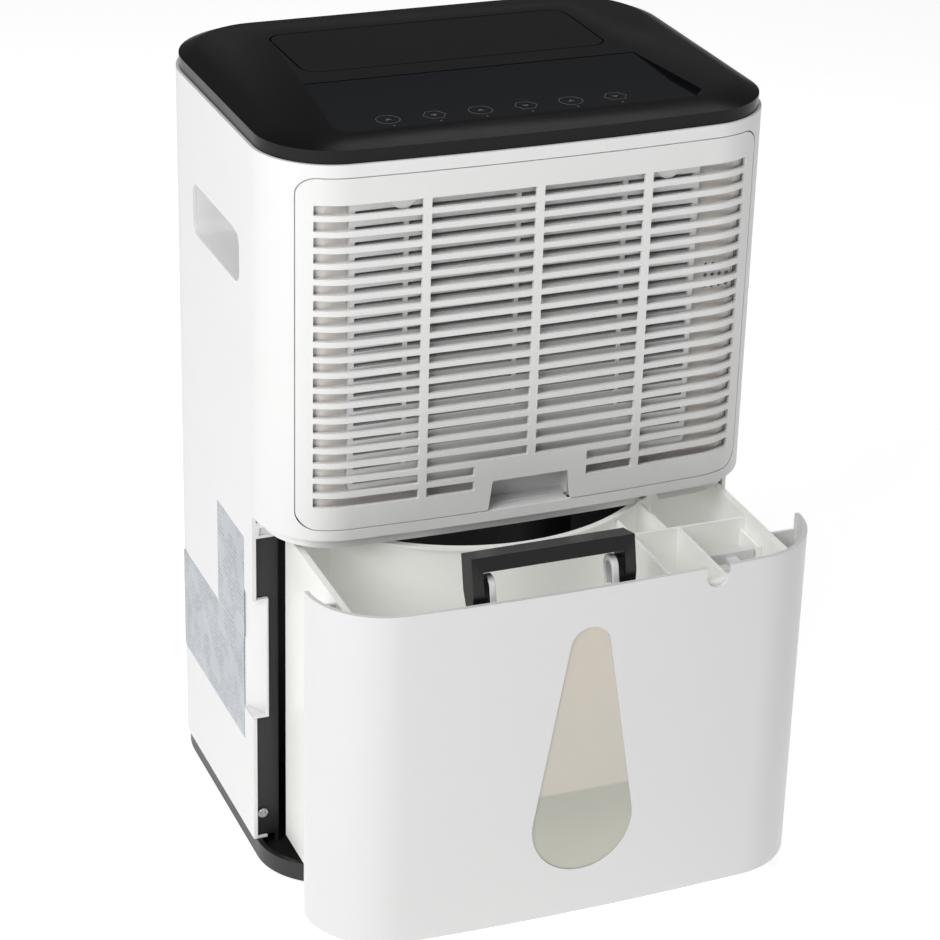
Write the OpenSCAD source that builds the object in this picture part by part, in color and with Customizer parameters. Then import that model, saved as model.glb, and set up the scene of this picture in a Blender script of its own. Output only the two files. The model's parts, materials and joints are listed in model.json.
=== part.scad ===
// Portable compressor dehumidifier: white cabinet on a black tray, removable front grille,
// black top with a hinged air outlet, and a water tank that slides out of the front.
// Millimetres. +Z up, +X to the right seen from the front, the front faces -Y.
// The origin is the middle of the cabinet's footprint, on the floor.

/* [Cabinet] */
// Width of the cabinet
body_w = 350; // [340:1:360]
// Depth of the cabinet
body_d = 275; // [270:1:285]
// Height of the cabinet shell's top edge, where the top cover starts
cover_z = 526; // [522:1:534]
// Wall thickness of the cabinet shell
wall = 2.8; // [2.4:0.1:3.2]
// Radius of the two front corners
front_r = 53; // [50:1:60]
// Radius of the two rear corners
rear_r = 66; // [55:1:70]
// Radius of the slight forward bow of the front
bow_r = 2200; // [1800:50:3000]

/* [Intake grille] */
// Width of the grille panel
grille_w = 316; // [310:1:320]
// Bottom of the grille panel
grille_z0 = 275.5; // [275:0.5:277]
// Top of the grille panel
grille_z1 = 517; // [515:0.5:519]
// Number of air slots, counted downwards
slots = 20; // [20:1:20]
// Distance between slot centres
slot_pitch = 10.6; // [10.5:0.1:10.6]
// Height of one air slot
slot_h = 6.8; // [5:0.1:7.4]

/* [Water tank] */
// How far the tank stands pulled out
pull = 107; // [100:1:110]
// Height of the tank front's rim
rim_z = 265.5; // [264:0.5:266]
// Height of the inner tank's rim
tank_top = 255; // [252:1:256]
// Radius of the hollow in the tank's back, round the compressor
hollow_r = 142; // [140:1:146]

/* [Moving parts] */
// Diameter of the fan wheel
fan_d = 140; // [120:2:144]
// Number of fan blades
blades = 24; // [12:1:36]
// Width of the outlet flap
flap_w = 216; // [200:1:220]
// Depth of the outlet flap
flap_d = 84; // [76:1:86]

/* [Hidden] */

$fn = 64;
eps = 0.01;
front = -body_d / 2;
corner_x = body_w / 2 - front_r;
bow_y = front + bow_r;
corner_y = bow_y - sqrt(pow(bow_r - front_r, 2) - pow(corner_x, 2));
rear_x = body_w / 2 - rear_r;
rear_y = body_d / 2 - rear_r;
// Half the angle that the bow spans, up to where a corner's arc takes over
join_a = asin(corner_x / (bow_r - front_r));
corner_steps = 20;

shell_z = 15.5;
face_z = 267.5;
lip_z = 258.5;
lip_inset = 8;
side_edge_y = -80;
ceiling_z = 268;
tab_z0 = 112;
tab_z1 = 204;
tab_back = -60;
tray_z = 1.5;
cover_band = 8.8;
cover_chamfer = 4.8;
chamfer_w = 14;
lid_z = cover_z + cover_band + cover_chamfer;

// Water tank, described where it sits when pushed home
bay_half = 156;
bay_gap = 9;
spout_z = 261.5;
bay_back = 23;
hollow_y = 100;
tank_half = 154;
tank_back = 20;
tank_z = 19;
tank_wall = 2.2;
front_bottom = 22;
front_wall = 3;
handle_x0 = -79;
handle_x1 = 33.5;
handle_deep = 18;
handle_plate = 7.5;
handle_foot = 11.5;
handle_top = 46;
handle_lean = 13;
web_t = 4.5;
boss_gap = 0.5;
boss_t = 6;
pivot_y = -125;
pivot_z = 246;
float_y = -72;
float_z = 236;

fan_z = 395;
fan_y0 = 34;
fan_y1 = 84;
scroll_y0 = 28;
scroll_y1 = 92;

flap_y0 = 7;
flap_t = 3;
flap_r = 12;
flap_gap = 1.1;
dish = 3.2;
flap_hinge_y = flap_y0 + flap_d - 13;
motor_y = flap_hinge_y + 3.5;

slot_end = 148.5;
filter_x0 = -126;
filter_x1 = 114;
filter_cells = [-124, -88, -12, 62, 112];
filter_pitch = 10.3;

coil_x0 = -128;
coil_x1 = 104;
coil_z0 = 292;
coil_z1 = 500;
fin_pitch = 8;
tube_rows = 8;
tube_pitch = 26;
tube_r = 4;

compressor_x = -38;
compressor_y = 76;

// ---- shapes shared by several pieces ----

// Points on an arc round (x, y), leaving out its first few
function arc(x, y, r, from, to, steps, first = 0) =
    [for (i = [first : steps]) let(a = from + (to - from) * i / steps)
        [x + r * cos(a), y + r * sin(a)]];

// The cabinet's outline, moved inwards by inset: a bowed front between two round corners
module plan(inset = 0) {
    f = front_r - inset;
    r = rear_r - inset;
    polygon(concat(
        arc(0, bow_y, bow_r - inset, -90 - join_a, -90 + join_a, 10, 1),
        arc(corner_x, corner_y, f, -90 + join_a, 0, corner_steps, 1),
        arc(rear_x, rear_y, r, 0, 90, corner_steps),
        arc(-rear_x, rear_y, r, 90, 180, corner_steps),
        arc(-corner_x, corner_y, f, 180, 270 - join_a, corner_steps)));
}

// A block between two corners
module block(x0, x1, y0, y1, z0, z1) {
    translate([x0, y0, z0]) cube([x1 - x0, y1 - y0, z1 - z0]);
}

// A flat shape raised from z0 to z1
module level(z0, z1) {
    translate([0, 0, z0]) linear_extrude(z1 - z0) children();
}

// A shape drawn as seen from the front, running from y0 back to y1
module facing(y0, y1) {
    translate([0, y1, 0]) rotate([90, 0, 0]) linear_extrude(y1 - y0) children();
}

// A shape drawn as (y, z), running from x0 to x1
module sideways(x0, x1) {
    translate([x0, 0, 0]) rotate([90, 0, 90]) linear_extrude(x1 - x0) children();
}

// A rectangle with round corners
module soft_rect(x0, x1, y0, y1, r) {
    translate([x0 + r, y0]) square([x1 - x0 - 2 * r, y1 - y0]);
    translate([x0, y0 + r]) square([x1 - x0, y1 - y0 - 2 * r]);
    for (x = [x0 + r, x1 - r], y = [y0 + r, y1 - r])
        translate([x, y]) circle(r);
}

// A round rod along X
module rod_x(x0, x1, y, z, r) {
    translate([x0, y, z]) rotate([0, 90, 0]) cylinder(h = x1 - x0, r = r);
}

// A round rod along Y
module rod_y(x, y0, y1, z, r) {
    translate([x, y0, z]) rotate([-90, 0, 0]) cylinder(h = y1 - y0, r = r);
}

// A pipe through points, each stretch along one axis, with a ball in each bend
module pipe(points, r) {
    for (i = [0 : len(points) - 2]) {
        a = points[i];
        d = points[i + 1] - a;
        translate(a) {
            if (abs(d[0]) > 0) rotate([0, 90 * sign(d[0]), 0]) cylinder(h = abs(d[0]), r = r);
            if (abs(d[1]) > 0) rotate([-90 * sign(d[1]), 0, 0]) cylinder(h = abs(d[1]), r = r);
            if (abs(d[2]) > 0) mirror([0, 0, d[2] < 0 ? 1 : 0]) cylinder(h = abs(d[2]), r = r);
        }
    }
    for (i = [1 : len(points) - 2]) translate(points[i]) sphere(r);
}

// ---- base ----

module base_tray() {
    color([0.06, 0.06, 0.065]) {
        difference() {
            level(tray_z, shell_z) plan(2);
            level(8, shell_z + 1) plan(6);
            for (i = [0 : 3]) foot_at(i) translate([0, 0, tray_z - 1]) cylinder(h = 4, r = 12);
        }
        // Runners that the tank slides on
        for (x = [-110, 110]) block(x - 8, x + 8, -115, 5, 8 - eps, tank_z - 0.5);
        // Central pad that stands on the floor with the feet
        cylinder(h = tray_z + 1, r = 18);
        // Raised deck under the compressor
        translate([compressor_x, compressor_y, 8 - eps]) cylinder(h = 6, r = 47.5);
    }
}

module foot_at(i) {
    translate([i % 2 == 0 ? -130 : 130, i < 2 ? -92 : 92, 0]) children();
}

module foot(i) {
    color([0.1, 0.1, 0.1]) foot_at(i) {
        cylinder(h = 4.5, r = 12);
    }
}

// ---- cabinet shell ----

module intake_outline(gap) {
    soft_rect(-grille_w / 2 - gap, grille_w / 2 + gap, grille_z0 - gap, grille_z1 + gap, 12);
}

module finger_notch(gap) {
    polygon([[-30 - gap, grille_z0 - 2], [30 + gap, grille_z0 - 2],
        [27 + gap, 296.5 + gap], [-27 - gap, 296.5 + gap]]);
}

// The carry recess in one side wall, drawn as (y, z)
module carry_outline(gap) {
    soft_rect(-57 - gap, 46 + gap, 423 - gap, 459 + gap, 10);
}

// The outer wall between two heights
module wall_ring(z0, z1) {
    level(z0, z1) difference() {
        plan(0);
        plan(wall);
    }
}

// The opening that the rear cover closes
module rear_opening() {
    facing(body_d / 2 - wall - 1, body_d / 2 + 1) soft_rect(-112, 112, 60, 500, 8);
}

// Open pocket that ends the hood's lip inside one side wall, built on the right
module lip_end() {
    difference() {
        union() {
            block(160, body_w / 2 - wall, side_edge_y, -77.2, 250, lip_z + 3);
            block(170, 173, side_edge_y, -77.2, lip_z, lip_z + 3);
        }
        block(162, 170, side_edge_y - 1, -78.4, 252, lip_z - 1);
    }
}

module cabinet_shell() {
    color([0.93, 0.93, 0.93]) for (s = [-1, 1]) mirror([s < 0 ? 1 : 0, 0, 0]) lip_end();
    color([0.93, 0.93, 0.93]) difference() {
        union() {
            wall_ring(lip_z, cover_z);
            // Under the hood the wall steps back into a lip
            level(face_z, face_z + 2.5) difference() {
                plan(wall - 0.5);
                plan(lip_inset + 2.5);
            }
            level(lip_z, face_z + 2.5) difference() {
                plan(lip_inset);
                plan(lip_inset + 2.5);
            }
        }
        level(lip_z - 1, face_z) difference() {
            translate([-200, -200]) square([400, 200 + side_edge_y]);
            plan(lip_inset);
        }
        // The lip is only in front of the tank's bay
        level(lip_z - 1, face_z + 3) intersection() {
            plan(wall);
            translate([-200, side_edge_y]) square([400, 400]);
        }
        // Notch that lets a drain hose out over the tank's rim
        facing(-140, -120) polygon([[80, lip_z - 1], [101, lip_z - 1], [97, face_z], [84, face_z]]);
        facing(-160, -100) intake_outline(0.6);
        for (s = [-1, 1]) mirror([s < 0 ? 1 : 0, 0, 0])
            sideways(body_w / 2 - wall - 1, body_w / 2 + 1) carry_outline(0);
        rear_opening();
    }
}

// Sides and back below the hood, open to the front for the tank
module lower_shell() {
    color([0.93, 0.93, 0.93]) difference() {
        union() {
            wall_ring(shell_z, lip_z);
            // Small inward lip at the foot of each side's front edge
            for (s = [-1, 1])
                block(s > 0 ? 165 : -173, s > 0 ? 173 : -165, side_edge_y, -78, shell_z, shell_z + 1.5);
        }
        block(-200, 200, -200, side_edge_y, shell_z - 1, lip_z + 1);
        for (s = [-1, 1])
            block(s > 0 ? 170 : -180, s > 0 ? 180 : -170, side_edge_y - 1, tab_back, tab_z0, tab_z1);
        rear_opening();
        rod_y(120, body_d / 2 - 10, body_d / 2 + 1, 40, 7);
    }
}

module rear_cover() {
    color([0.9, 0.9, 0.9]) difference() {
        facing(body_d / 2 - 3.5, body_d / 2 - 1) soft_rect(-112, 112, 60, 500, 8);
        for (i = [0 : 9], s = [-1, 1])
            translate([0, 0, 250 + i * 12])
                block(s > 0 ? 6 : -90, s > 0 ? 90 : -6, body_d / 2 - 5, body_d / 2 + 1, -2.5, 2.5);
        for (i = [0 : 5])
            translate([0, 0, 100 + i * 12]) block(-70, 70, body_d / 2 - 5, body_d / 2 + 1, -2, 2);
    }
}

// Open finger pocket behind one carry opening, built on the right
module carry_pocket() {
    x1 = body_w / 2 - wall;
    difference() {
        sideways(x1 - 26, x1) carry_outline(2);
        sideways(x1 - 24, x1 + 1) carry_outline(0);
    }
}

module carry_grip_left() {
    color([0.9, 0.9, 0.9]) mirror([1, 0, 0]) carry_pocket();
}

module carry_grip_right() {
    color([0.9, 0.9, 0.9]) carry_pocket();
}

// Scoop behind the notch in the grille, for pulling the panel off
module finger_recess() {
    color([0.88, 0.88, 0.88]) {
        difference() {
            block(-34, 34, -126.5, -114.5, 272, 302);
            block(-31, 31, -128, -116.5, 275, 299);
        }
        // Tongue that closes the gap under the notch
        block(-29, 29, -134.1, -126.5 + eps, 272.4, 274.6);
    }
}

// Scoop at the front edge of one side wall, for gripping the tank, built on the right
module edge_tab() {
    x1 = body_w / 2;
    level(tab_z0, tab_z1) polygon([[x1 - 0.2, tab_back], [x1 - wall, tab_back], [x1 - 11.5, -76.8],
        [x1 - 11.5, side_edge_y], [x1 - 9.2, side_edge_y], [x1 - 9.2, -77.5]]);
    for (z = [tab_z0, tab_z1 - 1.5])
        level(z, z + 1.5) polygon([[x1 - 0.2, tab_back], [x1 - 9.5, -77.5], [x1 - 9.5, side_edge_y],
            [x1 - 0.2, side_edge_y]]);
}

module edge_tab_left() {
    color([0.92, 0.92, 0.92]) mirror([1, 0, 0]) edge_tab();
}

module edge_tab_right() {
    color([0.92, 0.92, 0.92]) edge_tab();
}

// ---- tank bay ----

// The free space of the bay, seen from above
module bay_plan(out = 0) {
    difference() {
        translate([-bay_half - out, -200]) square([2 * (bay_half + out), 200 + bay_back + out]);
        translate([-5, hollow_y]) circle(hollow_r - bay_gap - out, $fn = 128);
    }
}

module bay_liner() {
    color([0.05, 0.05, 0.055]) difference() {
        union() {
            level(8, ceiling_z + 2.5) intersection() {
                bay_plan(2.5);
                translate([-200, -77]) square([400, 200]);
            }
            // Flange across the gap to the cabinet's side walls
            facing(-77, -74) difference() {
                translate([-172.1, shell_z + 0.5]) square([344.2, ceiling_z - shell_z]);
                translate([-bay_half - 1, 0]) square([2 * bay_half + 2, 400]);
            }
            // Ceiling
            level(ceiling_z, ceiling_z + 2.5) intersection() {
                plan(lip_inset + 3.5);
                bay_plan(2.5);
            }
        }
        level(7, ceiling_z) bay_plan(0);
        rod_z(90, -97, ceiling_z - 5, ceiling_z + 5, 6.5);
        for (s = [-1, 1]) block(s > 0 ? 163 : -180, s > 0 ? 180 : -163, -78, -73, tab_z0, tab_z1);
        rod_y(-168, -80, -70, 35, 1.6);
        rod_y(168, -80, -70, 35, 1.6);
    }
}

// A round rod along Z
module rod_z(x, y, z0, z1, r) {
    translate([x, y, z0]) cylinder(h = z1 - z0, r = r);
}

module flange_screw(x) {
    color([0.75, 0.75, 0.77]) {
        difference() {
            rod_y(x, -79.4, -77, 35, 3.6);
            block(x - 2.6, x + 2.6, -80, -78.4, 34.5, 35.5);
            block(x - 0.5, x + 0.5, -80, -78.4, 32.4, 37.6);
        }
        rod_y(x, -77 - eps, -66, 35, 1.6);
    }
}

module tank_switch() {
    color([0.15, 0.15, 0.16]) {
        block(136, 156, bay_back + 2.5, bay_back + 12, 225, 237);
        block(138, 154, bay_back + 12 - eps, bay_back + 15, 228, 234);
    }
}

// ---- top ----

module flap_outline(gap) {
    soft_rect(-flap_w / 2 - gap, flap_w / 2 + gap, flap_y0 - gap, flap_y0 + flap_d + gap,
        flap_r + gap);
}

// The sunken glossy field in front of the flap
module panel_outline(gap) {
    polygon([[-117 - gap, -14.5 + gap], [-127 - gap, -100.5], [-118, -111.5 - gap],
        [118, -111.5 - gap], [127 + gap, -100.5], [117 + gap, -14.5 + gap]]);
}

module top_cover() {
    color([0.03, 0.03, 0.035]) difference() {
        union() {
            level(cover_z, cover_z + cover_band) plan(2);
            hull() {
                level(cover_z + cover_band - 0.4, cover_z + cover_band) plan(2);
                level(lid_z - 0.4, lid_z) plan(chamfer_w);
            }
        }
        level(cover_z - 1, lid_z - 4) plan(7);
        level(cover_z - 1, lid_z + 1) flap_outline(flap_gap);
        level(cover_z - 1, lid_z + 1) panel_outline(0.1);
        rod_x(-flap_w / 2 - 2.5, flap_w / 2 + 2.5, flap_hinge_y, lid_z - 1.6, 1.15);
    }
}

// Its rear slopes down from the top's level to a flat touch field
module control_panel() {
    color([0.02, 0.02, 0.025]) intersection() {
        level(cover_z, lid_z) panel_outline(0);
        sideways(-130, 130) polygon([[-13.5, lid_z - 0.3], [-70.5, lid_z - dish],
            [-112.5, lid_z - dish], [-112.5, lid_z - dish - 2.4], [-13.5, lid_z - dish - 2.4]]);
    }
}

// Plain touch marks: rings, arrows and dots
module touch_icons() {
    color([0.35, 0.35, 0.37]) level(lid_z - dish, lid_z - dish + 0.15) {
        for (i = [0 : 5]) translate([-86 + i * 31.4, -88.5]) {
            difference() {
                circle(8, $fn = i % 2 == 0 ? 48 : 6);
                circle(7.4, $fn = i % 2 == 0 ? 48 : 6);
            }
            polygon([[-2.4, i % 2 == 0 ? -1.2 : 1.2], [2.4, i % 2 == 0 ? -1.2 : 1.2],
                [0, i % 2 == 0 ? 2 : -2]]);
            translate([0, -12]) circle(0.8);
        }
    }
}

module control_board() {
    color([0.1, 0.35, 0.2]) {
        block(-105, 105, -95, -45, cover_z - 2, cover_z - 0.4);
        for (x = [-95, 95], y = [-88, -52]) rod_z(x, y, cover_z - 0.4 - eps, lid_z - dish - 2.4, 2.5);
        block(-30, -14, -84, -70, cover_z - 5, cover_z - 2 + eps);
        block(30, 60, -88, -78, cover_z - 10, cover_z - 2 + eps);
    }
}

module outlet_grid() {
    color([0.05, 0.05, 0.055]) {
        level(cover_z - 14, cover_z) difference() {
            soft_rect(-112, 112, flap_y0 - 3.5, flap_y0 + 87.5, 6);
            soft_rect(-108, 108, flap_y0 - 0.5, flap_y0 + 84.5, 4);
        }
        for (i = [0 : 7]) translate([0, flap_y0 + 5.5 + i * 10, 0])
            block(-108.5, 108.5, 0, 1.6, cover_z - 12, cover_z - 2);
        for (x = [-54, 0, 54])
            block(x - 1, x + 1, flap_y0 - 1.5, flap_y0 + 85.5, cover_z - 14, cover_z - 5);
    }
}

module outlet_flap() {
    color([0.04, 0.04, 0.045]) {
        level(lid_z - flap_t, lid_z) flap_outline(0);
        // Knuckles under the rear edge and a stiffening rib along the front
        for (x = [-70, 70]) {
            block(x - 6, x + 6, flap_hinge_y - 3, flap_hinge_y + 1, lid_z - 7, lid_z - flap_t + eps);
        }
        block(-98, 98, flap_y0 + 5, flap_y0 + 7, lid_z - 5.5, lid_z - flap_t + eps);
        // Hinge pins at the ends of the rear edge
        for (s = [-1, 1]) mirror([s < 0 ? 1 : 0, 0, 0])
            rod_x(flap_w / 2 - 5, flap_w / 2 + 2.4, flap_hinge_y, lid_z - 1.6, 1.1);
    }
}

module flap_motor() {
    color([0.75, 0.75, 0.72]) {
        rod_x(112, 128, motor_y, cover_z - 12, 9);
        rod_x(128 - eps, 133, motor_y, cover_z - 12, 3);
        block(114, 118, motor_y - 12, motor_y + 12, cover_z - 14, cover_z - 10);
    }
}

// ---- air path ----

module grille_slots() {
    rib = 2.7;
    first = 496.2;
    for (i = [0 : slots - 1]) {
        z = first - i * slot_pitch;
        inner = i >= slots - 2 ? 40 : rib;
        for (s = [-1, 1]) {
            translate([s > 0 ? 76 + rib : -slot_end, z - slot_h / 2])
                square([slot_end - 76 - rib, slot_h]);
            translate([s > 0 ? inner : -76 + rib, z - slot_h / 2])
                square([76 - rib - inner, slot_h]);
        }
    }
}

module grille_panel() {
    color([0.93, 0.93, 0.92]) intersection() {
        level(grille_z0 - 1, grille_z1 + 1) difference() {
            plan(0);
            plan(3);
        }
        facing(-160, -100) difference() {
            intake_outline(0);
            grille_slots();
            finger_notch(0);
        }
    }
}

module filter_frame() {
    color([0.8, 0.8, 0.78]) facing(-130.6, -127) difference() {
        soft_rect(filter_x0, filter_x1, 302, 508, 4);
        for (i = [0 : 18], j = [0 : 3])
            translate([filter_cells[j] + 1.5, 306 + i * filter_pitch])
                square([filter_cells[j + 1] - filter_cells[j] - 3, filter_pitch - 7.6]);
    }
    // Round pull tabs at the top
    color([0.8, 0.8, 0.78]) facing(-132, -130.6 + eps) for (x = [-91, 91]) intersection() {
        translate([x, 502]) circle(9);
        translate([x - 10, 492]) square([20, 12]);
    }
}

module filter_mesh() {
    color([0.35, 0.36, 0.37]) facing(-126.9, -126.3)
        soft_rect(filter_x0 + 1, filter_x1 - 1, 303, 507, 3);
}

// The moulded frame that the coils stand in, with a sealing face to the front
module coil_frame() {
    color([0.86, 0.85, 0.82]) {
        facing(-114, -111) difference() {
            soft_rect(-151, 148, 282, 514, 6);
            translate([coil_x0 - 5, 290]) square([coil_x1 - coil_x0 + 9, 212]);
            translate([112, 400]) square([34, 40]);
        }
        // Face beside and round the filter, following the cabinet's corners
        intersection() {
            level(280, 513) plan(wall + 1.2);
            block(-158, 158, -126, -111, 280, 513);
            union() {
                facing(-126, -124) difference() {
                    soft_rect(-158, 158, 280, 513, 4);
                    translate([filter_x0 + 4, 306]) square([filter_x1 - filter_x0 - 8, 198]);
                    translate([-35, 270]) square([70, 33]);
                    translate([121.5, 400]) square([26, 40]);
                }
                difference() {
                    level(280, 513) plan(wall + 1.2);
                    level(279, 514) plan(wall + 3.2);
                    block(-140, 140, -200, -100, 270, 520);
                    block(121.5, 147.5, -135, -115, 400, 440);
                }
            }
        }
        for (x = [-151, 146]) block(x, x + 2, -111 - eps, -62, 288, 508);
        block(-145, 145, -111 - eps, -62, 512, 514);
    }
}

module sensor_cover() {
    color([0.86, 0.85, 0.82]) intersection() {
        facing(-125.5, -123) difference() {
            translate([121.5, 400]) square([26, 40]);
            for (i = [0 : 3], j = [0 : 2]) translate([125.5 + i * 5.2, 411.5 + j * 7.5]) circle(1.4);
        }
        level(399, 441) plan(wall + 1.6);
    }
}

module humidity_sensor() {
    color([0.2, 0.45, 0.75]) block(124, 140, -109, -104, 408, 430);
}

module fin_block(y0, y1) {
    tube_y = (y0 + y1) / 2;
    for (i = [0 : floor((coil_x1 - coil_x0) / fin_pitch)])
        sideways(coil_x0 + i * fin_pitch, coil_x0 + i * fin_pitch + 0.6) difference() {
            translate([y0, coil_z0]) square([y1 - y0, coil_z1 - coil_z0]);
            for (k = [0 : tube_rows - 1])
                translate([tube_y, coil_z0 + 13 + k * tube_pitch]) circle(tube_r + 0.05, $fn = 24);
        }
}

// Straight tubes joined by return bends at alternate ends
module serpentine(y) {
    for (k = [0 : tube_rows - 1]) {
        z = coil_z0 + 13 + k * tube_pitch;
        rod_x(coil_x0 - 3, coil_x1 + 3, y, z, tube_r, $fn = 24);
        if (k < tube_rows - 1) {
            side = k % 2 == 0 ? 1 : 0;
            translate([side * (coil_x1 - coil_x0 + 6) + coil_x0 - 3, y, z + tube_pitch / 2])
                return_bend(side);
        }
    }
}

// Half a ring that joins two tubes, on the right for side 1 and on the left for side 0
module return_bend(side) {
    far = tube_pitch;
    intersection() {
        rotate([90, 0, 0]) rotate_extrude($fn = 48) translate([tube_pitch / 2, 0])
            circle(tube_r, $fn = 24);
        block(side == 1 ? -eps : -far, side == 1 ? far : eps, -far, far, -far, far);
    }
}

module evaporator_fins() {
    color([0.72, 0.73, 0.75]) fin_block(-108, -88);
}

module evaporator_tubes() {
    color([0.75, 0.45, 0.3]) serpentine(-98);
}

module condenser_fins() {
    color([0.72, 0.73, 0.75]) fin_block(-84, -66);
}

module condenser_tubes() {
    color([0.75, 0.45, 0.3]) serpentine(-75);
}

module drip_tray() {
    color([0.85, 0.85, 0.83]) difference() {
        block(-134, 112, -110, -62, 274, 287);
        block(-131, 109, -107, -65, 277, 288);
        rod_z(90, -97, 270, 280, 4);
    }
}

module drain_spout() {
    color([0.85, 0.85, 0.83]) difference() {
        union() {
            rod_z(90, -97, spout_z, 274, 6);
            rod_y(90, -104, -97, spout_z, 6);
            rod_y(90, -122, -104 + eps, spout_z, 4.5);
        }
        rod_z(90, -97, spout_z, 275, 3);
        rod_y(90, -123, -97, spout_z, 3);
    }
}

// Spiral of the fan housing: the wall moves away from the wheel towards the outlet
module scroll_outline(out) {
    base_r = 77 + out;
    growth = 20;
    polygon([for (a = [0 : 10 : 350])
        let(r = base_r + growth * (a < 270 ? a / 270 : (360 - a) / 90))
        [r * cos(a - 90), fan_z + r * sin(a - 90)]]);
    translate([-97 - out, fan_z]) square([174 + 2 * out, cover_z - 14 - fan_z]);
}

module fan_scroll() {
    color([0.7, 0.7, 0.7]) difference() {
        facing(scroll_y0, scroll_y1) scroll_outline(2.5);
        facing(scroll_y0 + 2.5, scroll_y1 - 2.5) scroll_outline(0);
        block(-97, 77, scroll_y0 + 2.5, scroll_y1 - 2.5, fan_z, cover_z);
        rod_y(0, scroll_y0 - 1, scroll_y0 + 5, fan_z, 56);
        rod_y(0, scroll_y1 - 5, scroll_y1 + 1, fan_z, 6);
    }
}

module fan_wheel() {
    color([0.2, 0.2, 0.21]) {
        difference() {
            rod_y(0, fan_y1 - 3, fan_y1, fan_z, fan_d / 2);
            rod_y(0, fan_y1 - 4, fan_y1 + 1, fan_z, 4.05);
        }
        difference() {
            rod_y(0, fan_y0, fan_y0 + 3, fan_z, fan_d / 2);
            rod_y(0, fan_y0 - 1, fan_y0 + 4, fan_z, fan_d / 2 - 13);
        }
        difference() {
            rod_y(0, fan_y1 - 24, fan_y1 - 3 + eps, fan_z, 11);
            rod_y(0, fan_y1 - 25, fan_y1, fan_z, 4.05);
        }
        for (i = [0 : blades - 1])
            translate([0, 0, fan_z]) rotate([0, i * 360 / blades, 0])
                translate([fan_d / 2 - 7, 0, 0]) rotate([0, 25, 0])
                    block(-5.5, 5.5, fan_y0 + 3 - eps, fan_y1 - 3 + eps, -0.6, 0.6);
    }
}

module fan_motor() {
    color([0.3, 0.3, 0.31]) {
        rod_y(0, scroll_y1, scroll_y1 + 34, fan_z, 38);
        rod_y(0, fan_y1 - 24, scroll_y1 + eps, fan_z, 4);
        for (a = [0 : 90 : 270])
            translate([0, 0, fan_z]) rotate([0, a + 45, 0])
                block(36, 50, scroll_y1, scroll_y1 + 4, -6, 6);
    }
}

// ---- refrigeration ----

module compressor() {
    color([0.04, 0.04, 0.045]) translate([compressor_x, compressor_y, 0]) {
        rotate_extrude() polygon(concat([[0, 30], [50, 30], [54, 34], [54, 196]],
            [for (a = [10 : 10 : 90]) [54 * cos(a), 196 + 18 * sin(a)]]));
        for (a = [30, 150, 270]) rotate([0, 0, a]) difference() {
            block(30, 66, -11, 11, 26, 30 + eps);
            translate([57, 0, 20]) cylinder(h = 20, r = 5);
        }
    }
}

module compressor_mounts() {
    color([0.12, 0.12, 0.12]) translate([compressor_x, compressor_y, 0])
        for (a = [30, 150, 270]) rotate([0, 0, a]) translate([57, 0, 8]) {
            cylinder(h = 18, r = 9);
            translate([0, 0, 18 - eps]) cylinder(h = 5.5, r = 4.9);
        }
}

module accumulator() {
    color([0.04, 0.04, 0.045]) translate([-125, 84, 0]) {
        rotate_extrude() polygon([[0, 62], [8, 64], [17, 72], [17, 180], [8, 188], [4, 190], [0, 190]]);
        block(10, 33, -3, 3, 118, 124);
    }
}

module suction_pipe() {
    color([0.72, 0.42, 0.26])
        pipe([[-125, 84, 190], [-125, 84, 276], [-140, 84, 276], [-140, 84, 470], [-140, -98, 470],
            [-140, -98, 487]], 3.5);
}

module discharge_pipe() {
    color([0.72, 0.42, 0.26])
        pipe([[compressor_x, compressor_y + 20, 213.3], [compressor_x, compressor_y + 20, 240],
            [-150, compressor_y + 20, 240], [-150, compressor_y + 20, 300],
            [-150, -54, 300], [-140, -54, 300], [-140, -54, 305], [-140, -75, 305],
            [coil_x0 - 3, -75, 305]], 3);
}

module capillary_coil() {
    color([0.72, 0.42, 0.26]) translate([-120, 44, 300]) {
        for (i = [0 : 4]) translate([0, 0, i * 2.4]) rotate_extrude() translate([14, 0])
            circle(1.2, $fn = 16);
        translate([0, 0, -6]) difference() {
            cylinder(h = 22, r = 12.6);
            translate([0, 0, -1]) cylinder(h = 24, r = 10.6);
        }
    }
}

module electrics_box() {
    color([0.8, 0.8, 0.78]) {
        difference() {
            block(50, 145, 40, 110, 100, 220);
            block(52, 143, 42, 108, 102, 221);
        }
        block(52 - eps, 143 + eps, 42 - eps, 108 + eps, 216, 218);
        block(60, 135, 55, 57, 102 - eps, 190);
    }
}

module capacitor() {
    color([0.85, 0.85, 0.83]) {
        rod_z(100, 75, 20, 84, 17);
        rod_z(94, 75, 84 - eps, 90, 2.5);
        rod_z(106, 75, 84 - eps, 90, 2.5);
        block(80, 120, 55, 95, 8, 20 + eps);
    }
}

module cord_gland() {
    color([0.05, 0.05, 0.055]) difference() {
        union() {
            rod_y(120, body_d / 2 - wall - 5, body_d / 2 + 0, 40, 6.9);
            rod_y(120, body_d / 2 - wall - 7, body_d / 2 - wall - 4, 40, 10);
        }
        rod_y(120, 100, 160, 40, 3.8);
    }
}

// ---- labels and screws ----

module label(y0, y1, z0, z1) {
    color([0.8, 0.8, 0.8]) block(-body_w / 2 - 0.15, -body_w / 2, y0, y1, z0, z1);
}

// ---- water tank ----

// The tank's outline from above when pushed home, moved inwards by inset
module tank_plan(inset) {
    difference() {
        intersection() {
            plan(front_wall + 0.2 + inset);
            translate([-tank_half + inset, -200])
                square([2 * (tank_half - inset), 200 + tank_back - inset]);
        }
        translate([-5, hollow_y]) circle(hollow_r + inset, $fn = 128);
    }
}

// Moves a piece of the tank from home to where it stands pulled out
module pulled() {
    translate([0, -pull, 0]) children();
}

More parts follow.
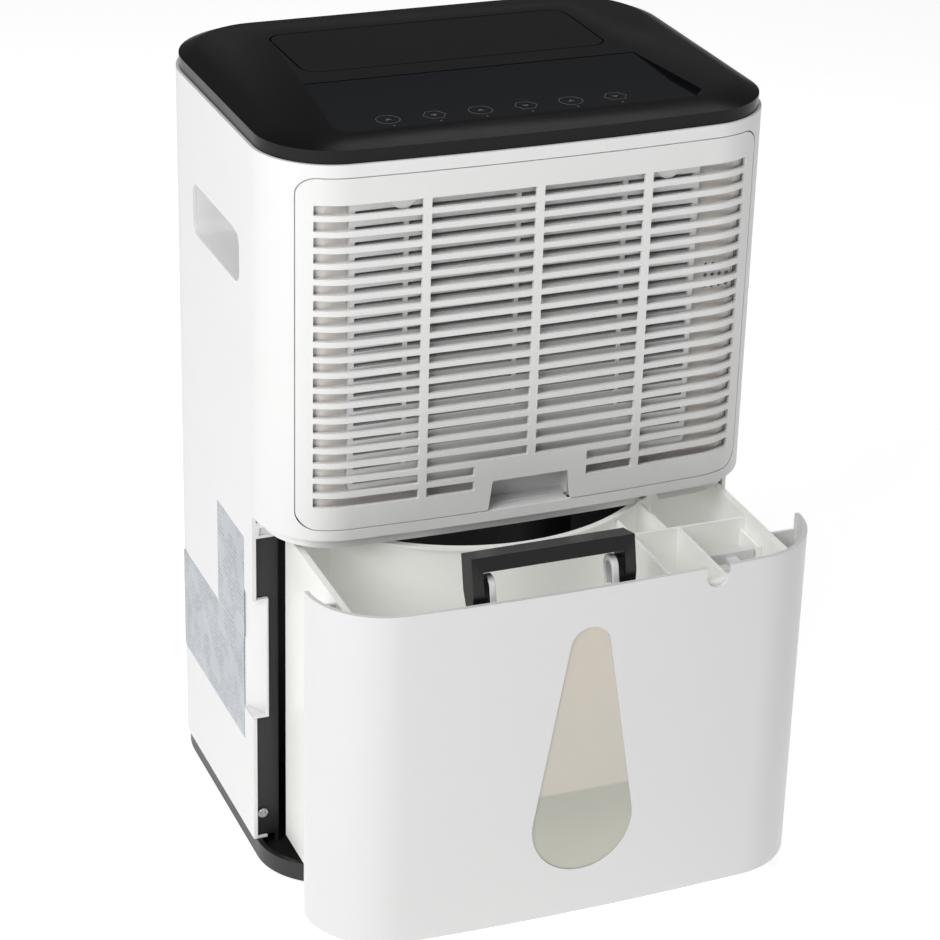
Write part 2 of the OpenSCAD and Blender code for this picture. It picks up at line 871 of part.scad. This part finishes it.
module tank_front() {
    color([0.95, 0.95, 0.95]) pulled() difference() {
        union() {
            level(front_bottom, rim_z) difference() {
                plan(0);
                plan(front_wall);
                translate([-200, side_edge_y - 1]) square([400, 400]);
            }
            // Return walls from the wings' rear edges to the inner tank
            level(front_bottom, tank_top - 1) intersection() {
                plan(0.5);
                union() for (s = [-1, 1])
                    translate([s > 0 ? tank_half + 0.2 : -175, side_edge_y - 3.5])
                        square([175 - tank_half - 0.2, 2.5]);
            }
        }
        // Round-bottomed notch for a drain hose
        facing(-160, -120) {
            translate([90, rim_z - 6]) circle(9);
            translate([81, rim_z - 6]) square([18, 20]);
        }
        facing(-160, -120) drop_outline(0);
    }
}

// A drop: a big arc below and a small one above, with straight sides between
module drop_outline(grow) {
    low_r = 36 + grow;
    low_z = 91;
    top_r = 14 + grow;
    top_z = 224;
    tilt = asin((low_r - top_r) / (top_z - low_z));
    low_turn = 180 + 2 * tilt;
    top_turn = 180 - 2 * tilt;
    polygon(concat(
        [for (i = [0 : 30]) let(a = tilt - i * low_turn / 30)
            [low_r * cos(a), low_z + low_r * sin(a)]],
        [for (i = [0 : 18]) let(a = 180 - tilt - i * top_turn / 18)
            [top_r * cos(a), top_z + top_r * sin(a)]]));
}

module tank_window() {
    color([0.85, 0.82, 0.75]) pulled() intersection() {
        level(front_bottom, rim_z) difference() {
            plan(0.8);
            plan(front_wall);
        }
        facing(-160, -120) drop_outline(-0.1);
    }
}

module tank_body() {
    color([0.9, 0.89, 0.86, 0.6]) pulled() {
        difference() {
            union() {
                level(tank_z, tank_top) difference() {
                    tank_plan(0);
                    tank_plan(tank_wall);
                }
                level(tank_z, tank_z + 2.5) tank_plan(0);
                level(tank_top - 2, tank_top) difference() {
                    tank_plan(0);
                    tank_plan(4.5);
                }
                // Inner walls beside the drain notch and round the float
                level(40, tank_top - 4) intersection() {
                    tank_plan(1);
                    union() {
                        translate([66, -140]) square([2, 150]);
                        translate([101, -140]) square([2, 91]);
                        translate([92, -50]) square([2, 60]);
                        translate([66, -50]) square([92, 2]);
                    }
                }
                // Bosses that carry the handle's pivots
                for (x = [handle_x0 + handle_foot + boss_gap, handle_x1 - handle_foot - boss_gap - boss_t])
                    block(x, x + boss_t, -132.5, pivot_y + 6, 236, tank_top);
                // Ears that carry the float's pin
                for (x = [107, 148]) block(x, x + 3, float_y - 5, -50 + eps, float_z - 6, float_z + 6);
            }
            rod_x(handle_x0, handle_x1, pivot_y, pivot_z, 3.05);
            rod_x(105, 153, float_y, float_z, 2.05);
            // Room in the rim for the handle's legs
            for (x = [handle_x0, handle_x1 - handle_foot])
                block(x - boss_gap, x + handle_foot + boss_gap, pivot_y - 5.7, pivot_y + 20, 236,
                    tank_top + 1);
        }
    }
}

// A piece of the handle, drawn upright at its pivot and leaned back to rest
module at_handle() {
    pulled() translate([0, pivot_y, pivot_z]) rotate([-handle_lean, 0, 0]) children();
}

module handle_side() {
    half = handle_deep / 2;
    circle(5.5);
    polygon([[-5, 0], [-5.2, 9], [-half, 22], [-half, handle_top], [half, handle_top], [half, 22],
        [5.2, 9], [5, 0]]);
}

// The thicker foot of a leg, up to where the white web starts
module handle_heel() {
    circle(5.5);
    polygon([[-5, 0], [-5.2, 9], [-7.4, 16], [-7.4, 27], [-5, 31], [5, 31], [7.4, 27], [7.4, 16],
        [5.2, 9], [5, 0]]);
}

module tank_handle() {
    color([0.03, 0.03, 0.035]) at_handle() {
        for (x = [handle_x0, handle_x1 - handle_plate]) sideways(x, x + handle_plate) handle_side();
        for (x = [handle_x0 + 1, handle_x1 - handle_foot]) sideways(x, x + handle_foot - 1) handle_heel();
        block(handle_x0 + 1, handle_x1 - 1, -handle_deep / 2, handle_deep / 2,
            handle_top - 10, handle_top);
        rod_x(handle_x0 + 1, handle_x0 + handle_foot + boss_t, 0, 0, 3);
        rod_x(handle_x1 - handle_foot - boss_t, handle_x1 - 1, 0, 0, 3);
    }
}

// White rounded web inside one leg of the handle, an arch that stands on the leg's foot
module handle_web(x) {
    color([0.93, 0.93, 0.93]) at_handle() sideways(x, x + web_t) difference() {
        union() {
            translate([0, 25]) circle(7.8);
            translate([-7.8, 12.2]) square([15.6, 12.8]);
        }
        translate([0, 24]) circle(4.6);
        translate([-4.6, 11]) square([9.2, 13]);
    }
}

module tank_float() {
    color([0.9, 0.9, 0.9]) pulled() {
        rod_x(105.5, 152.5, float_y, float_z, 2);
        block(112, 146, float_y - 4, float_y + 3, float_z - 4, float_z + 4);
        block(125, 133, float_y - 20, float_y - 4 + eps, float_z - 3, float_z + 1);
        block(112, 141, float_y - 41, float_y - 20 + eps, float_z - 28, float_z + 1);
    }
}

base_tray();
foot(0);  // foot_1
foot(1);  // foot_2
foot(2);  // foot_3
foot(3);  // foot_4
cabinet_shell();
lower_shell();
rear_cover();
bay_liner();
top_cover();
control_panel();
touch_icons();
control_board();
outlet_grid();
flap_motor();
fan_scroll();
fan_motor();
evaporator_fins();
evaporator_tubes();
condenser_fins();
condenser_tubes();
coil_frame();
sensor_cover();
humidity_sensor();
drip_tray();
drain_spout();
compressor();
compressor_mounts();
accumulator();
suction_pipe();
discharge_pipe();
capillary_coil();
electrics_box();
capacitor();
cord_gland();
label(-62, -2, 166, 243);  // label_small
label(-61, 82, 87, 165);  // label_large
flange_screw(-168);  // screw_left
flange_screw(168);  // screw_right
carry_grip_left();
carry_grip_right();
finger_recess();
edge_tab_left();
edge_tab_right();
tank_switch();
grille_panel();
filter_frame();
filter_mesh();
tank_front();
tank_body();
tank_window();
tank_handle();
handle_web(handle_x0 + handle_foot);  // handle_web_left
handle_web(handle_x1 - handle_foot - web_t);  // handle_web_right
tank_float();
outlet_flap();
fan_wheel();
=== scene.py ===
import math

import bmesh
import bpy
from mathutils import Matrix, Vector
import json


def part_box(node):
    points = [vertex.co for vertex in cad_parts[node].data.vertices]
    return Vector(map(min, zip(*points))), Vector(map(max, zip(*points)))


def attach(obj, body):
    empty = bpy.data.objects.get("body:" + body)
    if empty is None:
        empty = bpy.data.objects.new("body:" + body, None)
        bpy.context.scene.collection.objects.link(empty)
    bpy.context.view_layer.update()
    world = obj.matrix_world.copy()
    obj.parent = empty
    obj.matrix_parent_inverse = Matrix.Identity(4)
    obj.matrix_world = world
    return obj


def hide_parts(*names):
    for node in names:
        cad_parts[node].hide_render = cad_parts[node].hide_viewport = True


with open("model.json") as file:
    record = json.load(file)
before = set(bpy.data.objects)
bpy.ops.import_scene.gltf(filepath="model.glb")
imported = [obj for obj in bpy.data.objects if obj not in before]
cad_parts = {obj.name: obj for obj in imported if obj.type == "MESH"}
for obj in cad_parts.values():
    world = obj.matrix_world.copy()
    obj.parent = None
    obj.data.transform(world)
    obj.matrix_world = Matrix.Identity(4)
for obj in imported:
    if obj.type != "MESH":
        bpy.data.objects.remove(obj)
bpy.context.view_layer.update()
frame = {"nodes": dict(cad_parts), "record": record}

MM = 0.001
BODY_OF = {n: body for body, names in frame["record"]["behaviour"]["bodies"].items() for n in names}
SLOT_OF = {p["node"]: p["material_slot"] for p in frame["record"]["subparts"]}


# ---- materials: every one is nodes only, in the object's own metres ----

class Nodes:
    """A short way to add and join shader nodes."""

    def __init__(self, name):
        self.material = bpy.data.materials.new(name)
        self.material.use_nodes = True
        self.tree = self.material.node_tree
        self.shader = self.tree.nodes["Principled BSDF"]
        self.coords = self.add("ShaderNodeTexCoord").outputs["Object"]

    def add(self, kind, **values):
        node = self.tree.nodes.new(kind)
        for key, value in values.items():
            setattr(node, key, value)
        return node

    def put(self, socket, value):
        """Sets a socket to a number or a colour, or joins another socket to it."""
        if hasattr(value, "links"):
            self.tree.links.new(value, socket)
        else:
            socket.default_value = value

    def noise(self, scale, detail=3.0, rough=0.5, coords=None):
        node = self.add("ShaderNodeTexNoise")
        self.put(node.inputs["Vector"], coords or self.coords)
        node.inputs["Scale"].default_value = scale
        node.inputs["Detail"].default_value = detail
        node.inputs["Roughness"].default_value = rough
        return node.outputs["Fac"]

    def math(self, operation, a, b=0.0, c=0.0):
        node = self.add("ShaderNodeMath", operation=operation)
        for socket, value in zip(node.inputs, (a, b, c)):
            self.put(socket, value)
        return node.outputs[0]

    def remap(self, value, low, high, to_low, to_high):
        node = self.add("ShaderNodeMapRange")
        for socket, v in zip(node.inputs, (value, low, high, to_low, to_high)):
            self.put(socket, v)
        return node.outputs[0]

    def mix(self, factor, a, b):
        node = self.add("ShaderNodeMix", data_type="RGBA")
        self.put(node.inputs[0], factor)
        self.put(node.inputs[6], a)
        self.put(node.inputs[7], b)
        return node.outputs[2]

    def bump(self, height, strength, distance, under=None):
        node = self.add("ShaderNodeBump")
        self.put(node.inputs["Height"], height)
        node.inputs["Strength"].default_value = strength
        node.inputs["Distance"].default_value = distance
        if under is not None:
            self.put(node.inputs["Normal"], under)
        return node.outputs["Normal"]


def shade(colour, k):
    return (min(1, colour[0] * k), min(1, colour[1] * k), min(1, colour[2] * k), 1.0)


# How much lighter a rubbed edge is than the rest, on pale and on dark plastic
PALE_WEAR = 1.12
DARK_WEAR = 4


def plastic(name, colour, rough, grain=1800, grain_mm=0.04, mottle=0.035, edge=0.12,
            transmission=0.0, painted_glow=0.0, specular=0.5, warm=(1.0, 1.0, 1.0), relief=0.5):
    """Moulded plastic: slow colour drift, fine grain, wear on the edges and faint rubbing."""
    n = Nodes(name)
    drift = n.remap(n.noise(6, 2), 0.3, 0.7, 0, 1)
    dark = [c * w for c, w in zip(colour, warm)]
    tone = n.mix(drift, shade(dark, 1 - mottle), shade(colour, 1 + mottle))
    # Emission here is painted light: the part glows faintly, though it is no lamp
    if painted_glow:
        n.put(n.shader.inputs["Emission Color"], tone)
        n.shader.inputs["Emission Strength"].default_value = painted_glow
    point = n.add("ShaderNodeNewGeometry").outputs["Pointiness"]
    ridge = n.remap(point, 0.56, 0.64, 0, 1)
    worn = n.remap(n.math("MULTIPLY", ridge, n.noise(60, 4)), 0.2, 0.7, 0, edge)
    worn_tone = shade(colour, PALE_WEAR if max(colour) > 0.3 else DARK_WEAR)
    n.put(n.shader.inputs["Base Color"], n.mix(worn, tone, worn_tone))
    rubbed = n.remap(n.noise(28, 4, 0.6), 0.35, 0.7, rough - 0.02, rough + 0.03)
    n.put(n.shader.inputs["Roughness"], rubbed)
    waves = n.bump(n.noise(12, 1), 0.12, 0.1 * MM)
    n.put(n.shader.inputs["Normal"], n.bump(n.noise(grain, 2), relief, grain_mm * MM, waves))
    n.shader.inputs["Specular IOR Level"].default_value = specular
    n.shader.inputs["Transmission Weight"].default_value = transmission
    return n.material


def metal(name, colour, rough, brushed=True, streak=(40, 40, 900)):
    """Bare or plated metal with fine streaks and stains."""
    n = Nodes(name)
    stretch = n.add("ShaderNodeMapping")
    n.put(stretch.inputs["Vector"], n.coords)
    stretch.inputs["Scale"].default_value = streak
    lines = n.noise(1.0, 4, 0.6, stretch.outputs["Vector"])
    stain = n.noise(18, 5, 0.6)
    tone = n.mix(stain, shade(colour, 0.82), shade(colour, 1.08))
    streaks = n.remap(lines, 0.3, 0.7, 0, 0.4)
    n.put(n.shader.inputs["Base Color"], n.mix(streaks, tone, shade(colour, 0.7)))
    n.put(n.shader.inputs["Roughness"], n.remap(lines, 0.3, 0.7, rough - 0.08, rough + 0.12))
    n.put(n.shader.inputs["Normal"], n.bump(lines, 0.4 if brushed else 0.1, 0.05 * MM))
    n.shader.inputs["Metallic"].default_value = 1.0
    return n.material


def frosted_window(name, water_z):
    """Smoky see-through strip with the water and the tank's inside painted on: below the water line it is
    cooler, with painted shade darkest just under the line, and above it it lightens towards the top.
    """
    n = Nodes(name)
    z = n.add("ShaderNodeSeparateXYZ")
    n.put(z.inputs[0], n.coords)
    ripple = n.math("MULTIPLY_ADD", n.noise(14, 2), 1.6 * MM, -0.8 * MM)
    level = n.math("ADD", z.outputs["Z"], ripple)
    above = n.remap(level, water_z - 0.9 * MM, water_z + 0.9 * MM, 0, 1)
    fade_top, fade_bottom = water_z + 120 * MM, water_z - 60 * MM
    # Painted shade of the tank's inside: lighter towards the top above the water line, and darkest just
    # under the water line below it
    upper = n.mix(n.remap(level, water_z, fade_top, 0, 1), (0.60, 0.57, 0.50, 1), (0.66, 0.60, 0.52, 1))
    lower = n.mix(n.remap(level, fade_bottom, water_z, 0, 1), (0.55, 0.55, 0.47, 1),
                  (0.45, 0.45, 0.39, 1))
    tone = n.mix(above, lower, upper)
    cloud = n.remap(n.noise(22, 4), 0.3, 0.7, 0, 0.12)
    n.put(n.shader.inputs["Base Color"], n.mix(cloud, tone, (0.75, 0.72, 0.66, 1)))
    n.put(n.shader.inputs["Roughness"], n.remap(n.noise(40, 4), 0.3, 0.7, 0.16, 0.26))
    n.put(n.shader.inputs["Normal"], n.bump(n.noise(1500, 2), 0.3, 0.02 * MM))
    n.shader.inputs["Transmission Weight"].default_value = 0.12
    return n.material


def sticker(name, paper, ink, rows=0.0034, words=0.019):
    """Blank silver sticker with rows of grey bars where print would be."""
    n = Nodes(name)
    split = n.add("ShaderNodeSeparateXYZ")
    n.put(split.inputs[0], n.coords)
    flat = n.add("ShaderNodeCombineXYZ")
    n.put(flat.inputs[0], split.outputs["Y"])
    n.put(flat.inputs[1], split.outputs["Z"])
    bars = n.add("ShaderNodeTexBrick", offset=0.37, offset_frequency=3, squash=0.6,
                 squash_frequency=2)
    n.put(bars.inputs["Vector"], flat.outputs[0])
    for socket, value in (("Scale", 1.0), ("Brick Width", words), ("Row Height", rows),
                          ("Mortar Size", rows * 0.3), ("Mortar Smooth", 0.3), ("Bias", 0.0)):
        bars.inputs[socket].default_value = value
    n.put(bars.inputs["Color1"], ink)
    n.put(bars.inputs["Color2"], shade(ink, 1.25))
    n.put(bars.inputs["Mortar"], paper)
    gaps = n.remap(n.noise(45, 1, 0.4), 0.42, 0.5, 0, 1)
    print_area = n.mix(gaps, paper, bars.outputs["Color"])
    dulled = n.remap(n.noise(9, 3), 0.3, 0.7, 0, 0.15)
    n.put(n.shader.inputs["Base Color"], n.mix(dulled, print_area, shade(paper, 0.85)))
    n.put(n.shader.inputs["Roughness"], n.remap(n.noise(30, 4), 0.3, 0.7, 0.28, 0.42))
    n.put(n.shader.inputs["Normal"], n.bump(n.noise(300, 2), 0.2, 0.03 * MM))
    n.shader.inputs["Metallic"].default_value = 0.25
    return n.material


def woven(name, colour, pitch_mm=1.1):
    """Nylon filter mesh: two crossed sets of threads, with the holes painted dark as painted shade seen
    through them.
    """
    n = Nodes(name)
    split = n.add("ShaderNodeSeparateXYZ")
    n.put(split.inputs[0], n.coords)
    turns = 2 * math.pi / (pitch_mm * MM)
    across = n.math("SINE", n.math("MULTIPLY", split.outputs["X"], turns))
    down = n.math("SINE", n.math("MULTIPLY", split.outputs["Z"], turns))
    thread = n.math("MAXIMUM", across, down)
    threads = n.mix(n.noise(30, 3), shade(colour, 0.85), shade(colour, 1.15))
    # The holes get painted shade: the thread colour at 0.35
    n.put(n.shader.inputs["Base Color"],
          n.mix(n.remap(thread, -0.2, 0.6, 0, 1), shade(colour, 0.35), threads))
    n.shader.inputs["Roughness"].default_value = 0.7
    n.put(n.shader.inputs["Normal"], n.bump(thread, 0.6, 0.2 * MM))
    return n.material


def circuit(name):
    """Green board with copper tracks and pads."""
    n = Nodes(name)
    cells = n.add("ShaderNodeTexVoronoi", feature="F1", distance="MANHATTAN")
    n.put(cells.inputs["Vector"], n.coords)
    cells.inputs["Scale"].default_value = 90
    rings = n.math("FRACT", n.math("MULTIPLY", cells.outputs["Distance"], 6.0))
    track = n.remap(rings, 0.7, 0.8, 0, 0.6)
    n.put(n.shader.inputs["Base Color"], n.mix(track, (0.015, 0.12, 0.05, 1), (0.05, 0.28, 0.1, 1)))
    n.put(n.shader.inputs["Roughness"], n.remap(n.noise(50, 3), 0.3, 0.7, 0.3, 0.5))
    n.put(n.shader.inputs["Normal"], n.bump(track, 0.3, 0.05 * MM))
    return n.material


# Height of the water behind the window, as a share of the window's height
WATER_SHARE = 0.335
WINDOW_LO, WINDOW_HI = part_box("tank_window")
WATER_Z = WINDOW_LO.z + WATER_SHARE * (WINDOW_HI.z - WINDOW_LO.z)
WHITE = (0.757, 0.757, 0.757)

MATERIALS = {
    "tray_black": plastic("tray_black", (0.014, 0.014, 0.015), 0.42, grain_mm=0.05, mottle=0.15,
                          specular=0.4),
    "foot_rubber": plastic("foot_rubber", (0.03, 0.03, 0.03), 0.8, 900, 0.12, 0.2),
    "shell_white": plastic("shell_white", WHITE, 0.42, 900, 0.03, 0.008, edge=0,
                           warm=(1, 0.998, 0.99), relief=0.25),
    "cover_white": plastic("cover_white", (0.75, 0.75, 0.755), 0.45, 2000, 0.05, 0.015),
    "liner_black": plastic("liner_black", (0.016, 0.016, 0.018), 0.45, 1500, 0.06, 0.15),
    "top_black": plastic("top_black", (0.005, 0.005, 0.006), 0.24, 2400, 0.02, 0.05, edge=0,
                         specular=0.2, relief=0.3),
    "panel_black": plastic("panel_black", (0.005, 0.006, 0.009), 0.1, 2400, 0.004, 0.05, edge=0,
                           specular=0.22, relief=0.2),
    "icon_grey": plastic("icon_grey", (0.09, 0.09, 0.10), 0.5, 900, 0.01, 0.05),
    "board_green": circuit("board_green"),
    "motor_metal": plastic("motor_metal", (0.12, 0.12, 0.125), 0.45, 700, 0.08, 0.1, edge=0.4),
    "scroll_grey": plastic("scroll_grey", (0.45, 0.45, 0.45), 0.5, 1500, 0.05, 0.05),
    "coil_aluminium": metal("coil_aluminium", (0.78, 0.79, 0.80), 0.38, streak=(900, 40, 40)),
    "pipe_copper": metal("pipe_copper", (0.80, 0.42, 0.27), 0.3, False, (60, 60, 60)),
    "frame_beige": plastic("frame_beige", (0.70, 0.665, 0.635), 0.5, 1500, 0.05, 0.02, edge=0),
    "filter_frame": plastic("filter_frame", (0.68, 0.68, 0.675), 0.45, 1500, 0.05, 0.02, edge=0),
    "sensor_blue": plastic("sensor_blue", (0.06, 0.16, 0.40), 0.4, 1500, 0.04, 0.05),
    "compressor_black": plastic("compressor_black", (0.012, 0.012, 0.013), 0.28, 600, 0.1, 0.2, edge=0.3),
    "mount_rubber": plastic("mount_rubber", (0.025, 0.025, 0.025), 0.8, 900, 0.1, 0.2),
    "capacitor_grey": plastic("capacitor_grey", (0.6, 0.6, 0.585), 0.5, 1200, 0.05, 0.04),
    "gland_black": plastic("gland_black", (0.02, 0.02, 0.02), 0.6, 1200, 0.08, 0.2),
    "label_silver": sticker("label_silver", (0.42, 0.45, 0.49, 1), (0.24, 0.26, 0.29, 1)),
    "screw_steel": metal("screw_steel", (0.72, 0.72, 0.73), 0.28, True, (400, 400, 400)),
    "grille_white": plastic("grille_white", (0.745, 0.745, 0.74), 0.36, 900, 0.02, 0.008, edge=0,
                            warm=(1, 0.998, 0.99), relief=0.25),
    "filter_grey": woven("filter_grey", (0.36, 0.36, 0.362)),
    "tank_white": plastic("tank_white", (0.69, 0.69, 0.69), 0.32, 700, 0.008, 0.006, edge=0,
                          warm=(1, 0.998, 0.992), relief=0.2),
    # tank_clear glows a little: painted light standing in for light scattered inside the tank
    "tank_clear": plastic("tank_clear", (0.83, 0.83, 0.805), 0.35, 900, 0.02, 0.02, edge=0, painted_glow=0.12,
                          transmission=0.15, relief=0.3),
    "window_clear": frosted_window("window_clear", WATER_Z),
    "handle_black": plastic("handle_black", (0.007, 0.007, 0.008), 0.3, 1800, 0.03, 0.15, edge=0.04,
                            specular=0.35),
    "fan_dark": plastic("fan_dark", (0.04, 0.04, 0.043), 0.5, 1200, 0.06, 0.15),
}


# ---- pieces made from the frame's nodes: clean faces, rounded edges, own finish ----

SEAM_MM = 0.002
FLAT_DEG = 0.8
# Edges sharper than this are rounded, and shaded as edges
CREASE_DEG = 32
SLOT_CORNER_MM = 2.7
# Width of the plain border of the grille panel, whose own corners stay as they are
GRILLE_BORDER_MM = 7

def welded(node):
    """The node's mesh in new data, with its seams joined and flat areas back in one face."""
    bm = bmesh.new()
    bm.from_mesh(frame["nodes"][node].data)
    return tidied(bm)


def tidied(bm):
    """Joins seams and merges flat neighbours, which leaves one face per flat area."""
    bmesh.ops.remove_doubles(bm, verts=bm.verts, dist=SEAM_MM * MM)
    bmesh.ops.dissolve_limit(bm, angle_limit=math.radians(FLAT_DEG), verts=bm.verts, edges=bm.edges,
                             delimit={"NORMAL"})
    return bm


def united(name, nodes):
    """Two or more nodes that touch, made one mesh so that no seam shows between them."""
    first, *others = [frame["nodes"][n] for n in nodes]
    whole = bpy.data.objects.new(name + "_union", first.data.copy())
    bpy.context.scene.collection.objects.link(whole)
    for other in others:
        union = whole.modifiers.new("union", "BOOLEAN")
        union.operation = "UNION"
        union.solver = "EXACT"
        union.object = other
    bpy.context.view_layer.update()
    solved = whole.evaluated_get(bpy.context.evaluated_depsgraph_get()).to_mesh()
    bm = bmesh.new()
    bm.from_mesh(solved)
    bpy.data.objects.remove(whole)
    return tidied(bm)


def soften_slot_ends(bm):
    """Rounds the corners of the slots: the edges that run straight through the panel."""
    lo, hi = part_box("grille_panel")
    inside = GRILLE_BORDER_MM * MM
    corners = []
    for edge in bm.edges:
        a, b = (v.co for v in edge.verts)
        run = b - a
        if run.length < 2 * MM or abs(run.y) < 0.98 * run.length or len(edge.link_faces) != 2:
            continue
        if edge.calc_face_angle(0) < math.radians(60):
            continue
        if lo.x + inside < a.x < hi.x - inside and lo.z + inside < a.z < hi.z - inside:
            corners.append(edge)
    bmesh.ops.bevel(bm, geom=corners, offset=SLOT_CORNER_MM * MM, segments=4, profile=0.5,
                    affect="EDGES", clamp_overlap=True)


def place(name, bm, body, material):
    """Makes the piece, rides it on its body and gives it its slot and finish."""
    data = bpy.data.meshes.new(name)
    bm.to_mesh(data)
    bm.free()
    for spare in ("custom_normal", "sharp_face"):
        if spare in data.attributes:
            data.attributes.remove(data.attributes[spare])
    for polygon in data.polygons:
        polygon.use_smooth = True
    data.set_sharp_from_angle(angle=math.radians(CREASE_DEG))
    piece = bpy.data.objects.new(name, data)
    bpy.context.scene.collection.objects.link(piece)
    data.materials.append(material)
    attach(piece, body)
    return piece


def rounded(piece, width_mm, segments):
    bevel = piece.modifiers.new("edges", "BEVEL")
    bevel.width = width_mm * MM
    bevel.segments = segments
    bevel.limit_method = "ANGLE"
    bevel.angle_limit = math.radians(CREASE_DEG)
    bevel.harden_normals = True
    bevel.miter_outer = "MITER_ARC" if segments > 2 else "MITER_SHARP"


def refine(node, width_mm, segments, joined):
    """Replaces a node, and any joined to it, with a copy that has rounded edges and its finish."""
    bm = united(node, (node, *joined)) if joined else welded(node)
    if node == "grille_panel":
        soften_slot_ends(bm)
    material = MATERIALS.get(node, MATERIALS[SLOT_OF[node]])
    piece = place(node + "_shape", bm, BODY_OF[node], material)
    rounded(piece, width_mm, segments)
    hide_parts(node, *joined)


# Width of the rounding on each node's edges
EDGE_MM = {
    "cabinet_shell": 0.6, "top_cover": 0.9, "outlet_flap": 0.7, "control_panel": 0.3,
    "grille_panel": 0.95, "filter_frame": 0.5, "tank_front": 0.9, "tank_body": 0.5,
    "tank_handle": 2.0, "handle_web_left": 0.8, "handle_web_right": 0.8, "tank_float": 0.8,
    "bay_liner": 0.5, "base_tray": 0.8, "edge_tab_left": 0.6, "edge_tab_right": 0.6,
    "carry_grip_left": 0.8, "carry_grip_right": 0.8, "finger_recess": 0.6, "rear_cover": 0.7,
    "coil_frame": 0.6, "sensor_cover": 0.5, "drip_tray": 0.6, "drain_spout": 0.5,
    "screw_left": 0.3, "screw_right": 0.3, "outlet_grid": 0.4, "cord_gland": 0.6,
    "foot_1": 0.8, "foot_2": 0.8, "foot_3": 0.8, "foot_4": 0.8, "electrics_box": 0.6,
    "capacitor": 0.8, "fan_scroll": 0.6, "tank_switch": 0.5,
}

# Nodes that are one moulding with another node
JOINED = {"cabinet_shell": ("lower_shell",)}
# From this width on, the rounding takes one more step
BROAD_MM = 0.8

for node, width in EDGE_MM.items():
    refine(node, width, 3 if width >= BROAD_MM else 2, JOINED.get(node, ()))

for node, piece in frame["nodes"].items():
    if node not in EDGE_MM and not any(node in others for others in JOINED.values()):
        piece.data.materials.clear()
        piece.data.materials.append(MATERIALS[SLOT_OF[node]])


# ---- floor, light and camera ----

FLOOR_HALF = 14
FLOOR_GLOW = 0.66
CAMERA_AT = (-0.70488, -1.75318, 1.14273)
CAMERA_TURN = (-22.26, -25.57, 1.6)
CAMERA_LENS = 113.24
# Name, place, aim, size and power of each light
LIGHTS = [
    ("key", (-2.3, -1.5, 2.0), (0, 0, 0.25), (1.8, 1.8), 60),
    ("top", (-0.4, -0.9, 3.0), (0, 0, 0.25), (1.6, 1.6), 26),
    ("rim", (1.2, 1.15, 3.2), (0, 0, 0.4), (1.6, 1.4), 9),
]


def studio_floor():
    n = Nodes("studio_floor")
    tone = n.mix(n.noise(2.5, 4), (0.88, 0.88, 0.885, 1), (0.90, 0.90, 0.90, 1))
    n.put(n.shader.inputs["Base Color"], tone)
    n.put(n.shader.inputs["Roughness"], n.remap(n.noise(40, 4), 0.3, 0.7, 0.6, 0.75))
    n.put(n.shader.inputs["Normal"], n.bump(n.noise(500, 3), 0.2, 0.05 * MM))
    n.shader.inputs["Emission Color"].default_value = (1, 1, 1, 1)
    n.shader.inputs["Emission Strength"].default_value = FLOOR_GLOW
    n.shader.inputs["Specular IOR Level"].default_value = 0.2
    bm = bmesh.new()
    bmesh.ops.create_grid(bm, x_segments=24, y_segments=24, size=FLOOR_HALF)
    data = bpy.data.meshes.new("studio_floor")
    bm.to_mesh(data)
    bm.free()
    data.materials.append(n.material)
    floor = bpy.data.objects.new("studio_floor", data)
    bpy.context.scene.collection.objects.link(floor)


def soft_light(name, place_at, aim, size, power):
    data = bpy.data.lights.new(name, "AREA")
    data.shape = "RECTANGLE"
    data.size, data.size_y = size
    data.energy = power
    light = bpy.data.objects.new(name, data)
    light.location = place_at
    light.rotation_euler = (Vector(aim) - Vector(place_at)).to_track_quat("-Z", "Y").to_euler()
    bpy.context.scene.collection.objects.link(light)


def studio_camera():
    """Looks down at the front and the left side, as the reference view does."""
    yaw, pitch, roll = (math.radians(a) for a in CAMERA_TURN)
    level = math.cos(pitch)
    forward = Vector((-math.sin(yaw) * level, math.cos(yaw) * level, math.sin(pitch)))
    right = Vector((math.cos(yaw), math.sin(yaw), 0))
    up = right.cross(forward)
    turned_right = math.cos(roll) * right + math.sin(roll) * up
    turned_up = math.cos(roll) * up - math.sin(roll) * right
    axes = Matrix((turned_right, turned_up, -forward)).transposed()
    data = bpy.data.cameras.new("camera")
    data.sensor_width = 36
    data.lens = CAMERA_LENS
    camera = bpy.data.objects.new("camera", data)
    camera.matrix_world = Matrix.Translation(CAMERA_AT) @ axes.to_4x4()
    bpy.context.scene.collection.objects.link(camera)
    bpy.context.scene.camera = camera


studio_floor()
world = bpy.data.worlds.new("studio")
bpy.context.scene.world = world
world.use_nodes = True
background = world.node_tree.nodes["Background"]
background.inputs["Color"].default_value = (1.0, 1.0, 1.0, 1)
background.inputs["Strength"].default_value = 0.1
for light in LIGHTS:
    soft_light(*light)
studio_camera()
bpy.context.scene.view_settings.view_transform = "Standard"
